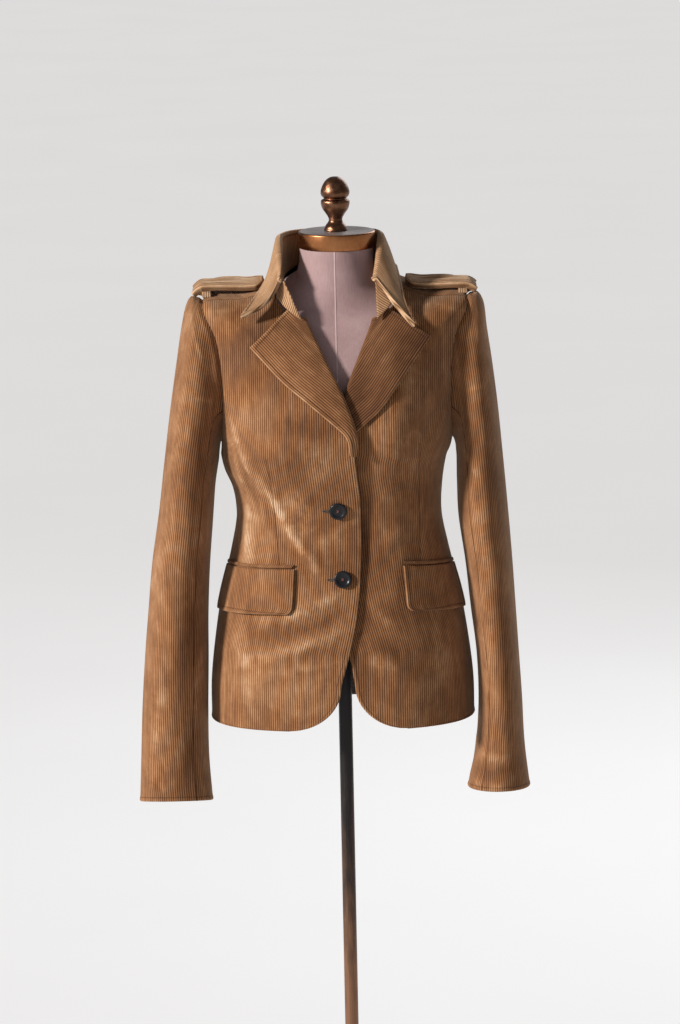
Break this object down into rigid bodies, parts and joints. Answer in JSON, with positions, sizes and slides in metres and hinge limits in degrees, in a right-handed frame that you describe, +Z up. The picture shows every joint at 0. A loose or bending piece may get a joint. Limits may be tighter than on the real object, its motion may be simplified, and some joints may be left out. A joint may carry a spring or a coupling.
{
  "type": "corduroy jacket on a limbless dress form with a pole stand",
  "caption": "Fitted corduroy jacket with lapels, collar, flap pockets and shoulder straps, worn by a limbless dress form on a pole with a round base.",
  "frame": {"origin": "centre of the base's flat underside, on the pole's axis", "axes": "+Z up along the pole, -Y is the jacket's front, +X is the wearer's left"},
  "size_m": [0.5168, 0.34, 1.51],
  "materials": {
    "corduroy": "wide-wale cotton corduroy, soft pile",
    "button_black": "polished black",
    "form_linen": "tight dusty-pink cloth cover",
    "bronze": "satin bronze",
    "bronze_dark": "dark polished bronze",
    "pole_steel": "blackened, worn brown",
    "base_iron": "black painted iron"
  },
  "bodies": {
    "root": {"front_right": "corduroy", "back_right": "corduroy", "sleeve_top_right": "corduroy", "sleeve_under_right": "corduroy", "lapel_right": "corduroy", "flap_right": "corduroy", "welt_right": "corduroy", "strap_right": "corduroy", "keeper_right": "corduroy", "front_left": "corduroy", "back_left": "corduroy", "sleeve_top_left": "corduroy", "sleeve_under_left": "corduroy", "lapel_left": "corduroy", "flap_left": "corduroy", "welt_left": "corduroy", "strap_left": "corduroy", "keeper_left": "corduroy", "collar_stand": "corduroy", "collar_fall": "corduroy", "button_upper": "button_black", "button_lower": "button_black", "form_torso": "form_linen", "neck_cap": "bronze", "finial": "bronze_dark", "pole": "pole_steel", "base": "base_iron"}
  },
  "joints": []
}
